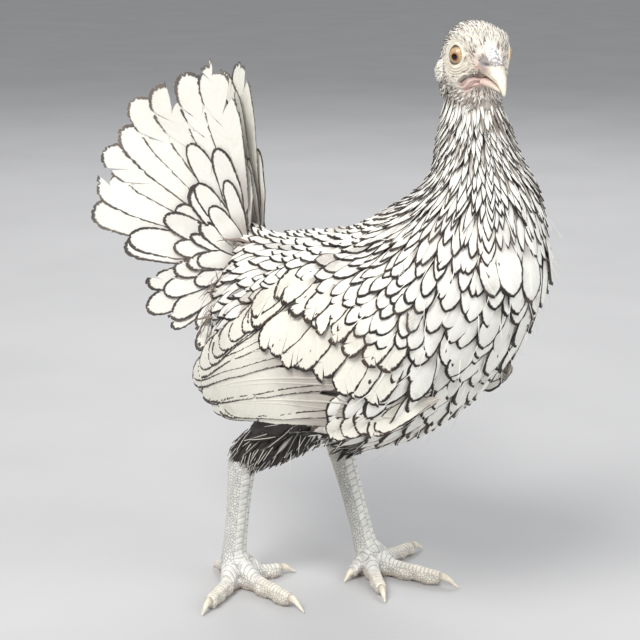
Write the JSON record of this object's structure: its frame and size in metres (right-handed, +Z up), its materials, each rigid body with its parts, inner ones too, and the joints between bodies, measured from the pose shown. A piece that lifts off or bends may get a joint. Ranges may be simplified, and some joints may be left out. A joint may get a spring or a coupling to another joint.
{
  "type": "bantam hen model",
  "caption": "Life-size still model of a small laced bantam hen, standing alert on bare legs, with folded wings and a fanned, upright tail.",
  "frame": {"origin": "middle of the right foot's flat sole, on the floor", "axes": "+X the way the body faces, +Y the bird's left, +Z up; the head is turned to the bird's right"},
  "size_m": [0.2465, 0.1364, 0.2795],
  "materials": {
    "laced_feather": "soft white feathers with thin dark lacing",
    "white_feather": "smooth cream-white feathers with thin dark edges",
    "dark_feather": "loose dark fluff",
    "face_feather": "short bristly white feathers over pink skin",
    "face_skin": "matt bare skin",
    "earlobe": "matt white skin",
    "leg_skin": "satin scaled skin",
    "horn": "satin ivory horn",
    "eye": "wet and glossy"
  },
  "bodies": {
    "root": {"torso": "laced_feather", "neck": "laced_feather", "head": "face_feather", "bill_upper": "horn", "bill_lower": "horn", "comb": "face_skin", "eye_right": "eye", "eye_left": "eye", "earlobe_right": "earlobe", "earlobe_left": "earlobe", "wing_right": "white_feather", "wing_left": "white_feather", "tail_right": "white_feather", "tail_left": "white_feather", "thigh_right": "dark_feather", "thigh_left": "dark_feather", "shank_right": "leg_skin", "shank_left": "leg_skin", "toe_inner_right": "leg_skin", "toe_middle_right": "leg_skin", "toe_outer_right": "leg_skin", "toe_hind_right": "leg_skin", "toe_inner_left": "leg_skin", "toe_middle_left": "leg_skin", "toe_outer_left": "leg_skin", "toe_hind_left": "leg_skin", "claw_inner_right": "horn", "claw_middle_right": "horn", "claw_outer_right": "horn", "claw_hind_right": "horn", "claw_inner_left": "horn", "claw_middle_left": "horn", "claw_outer_left": "horn", "claw_hind_left": "horn"}
  },
  "joints": []
}
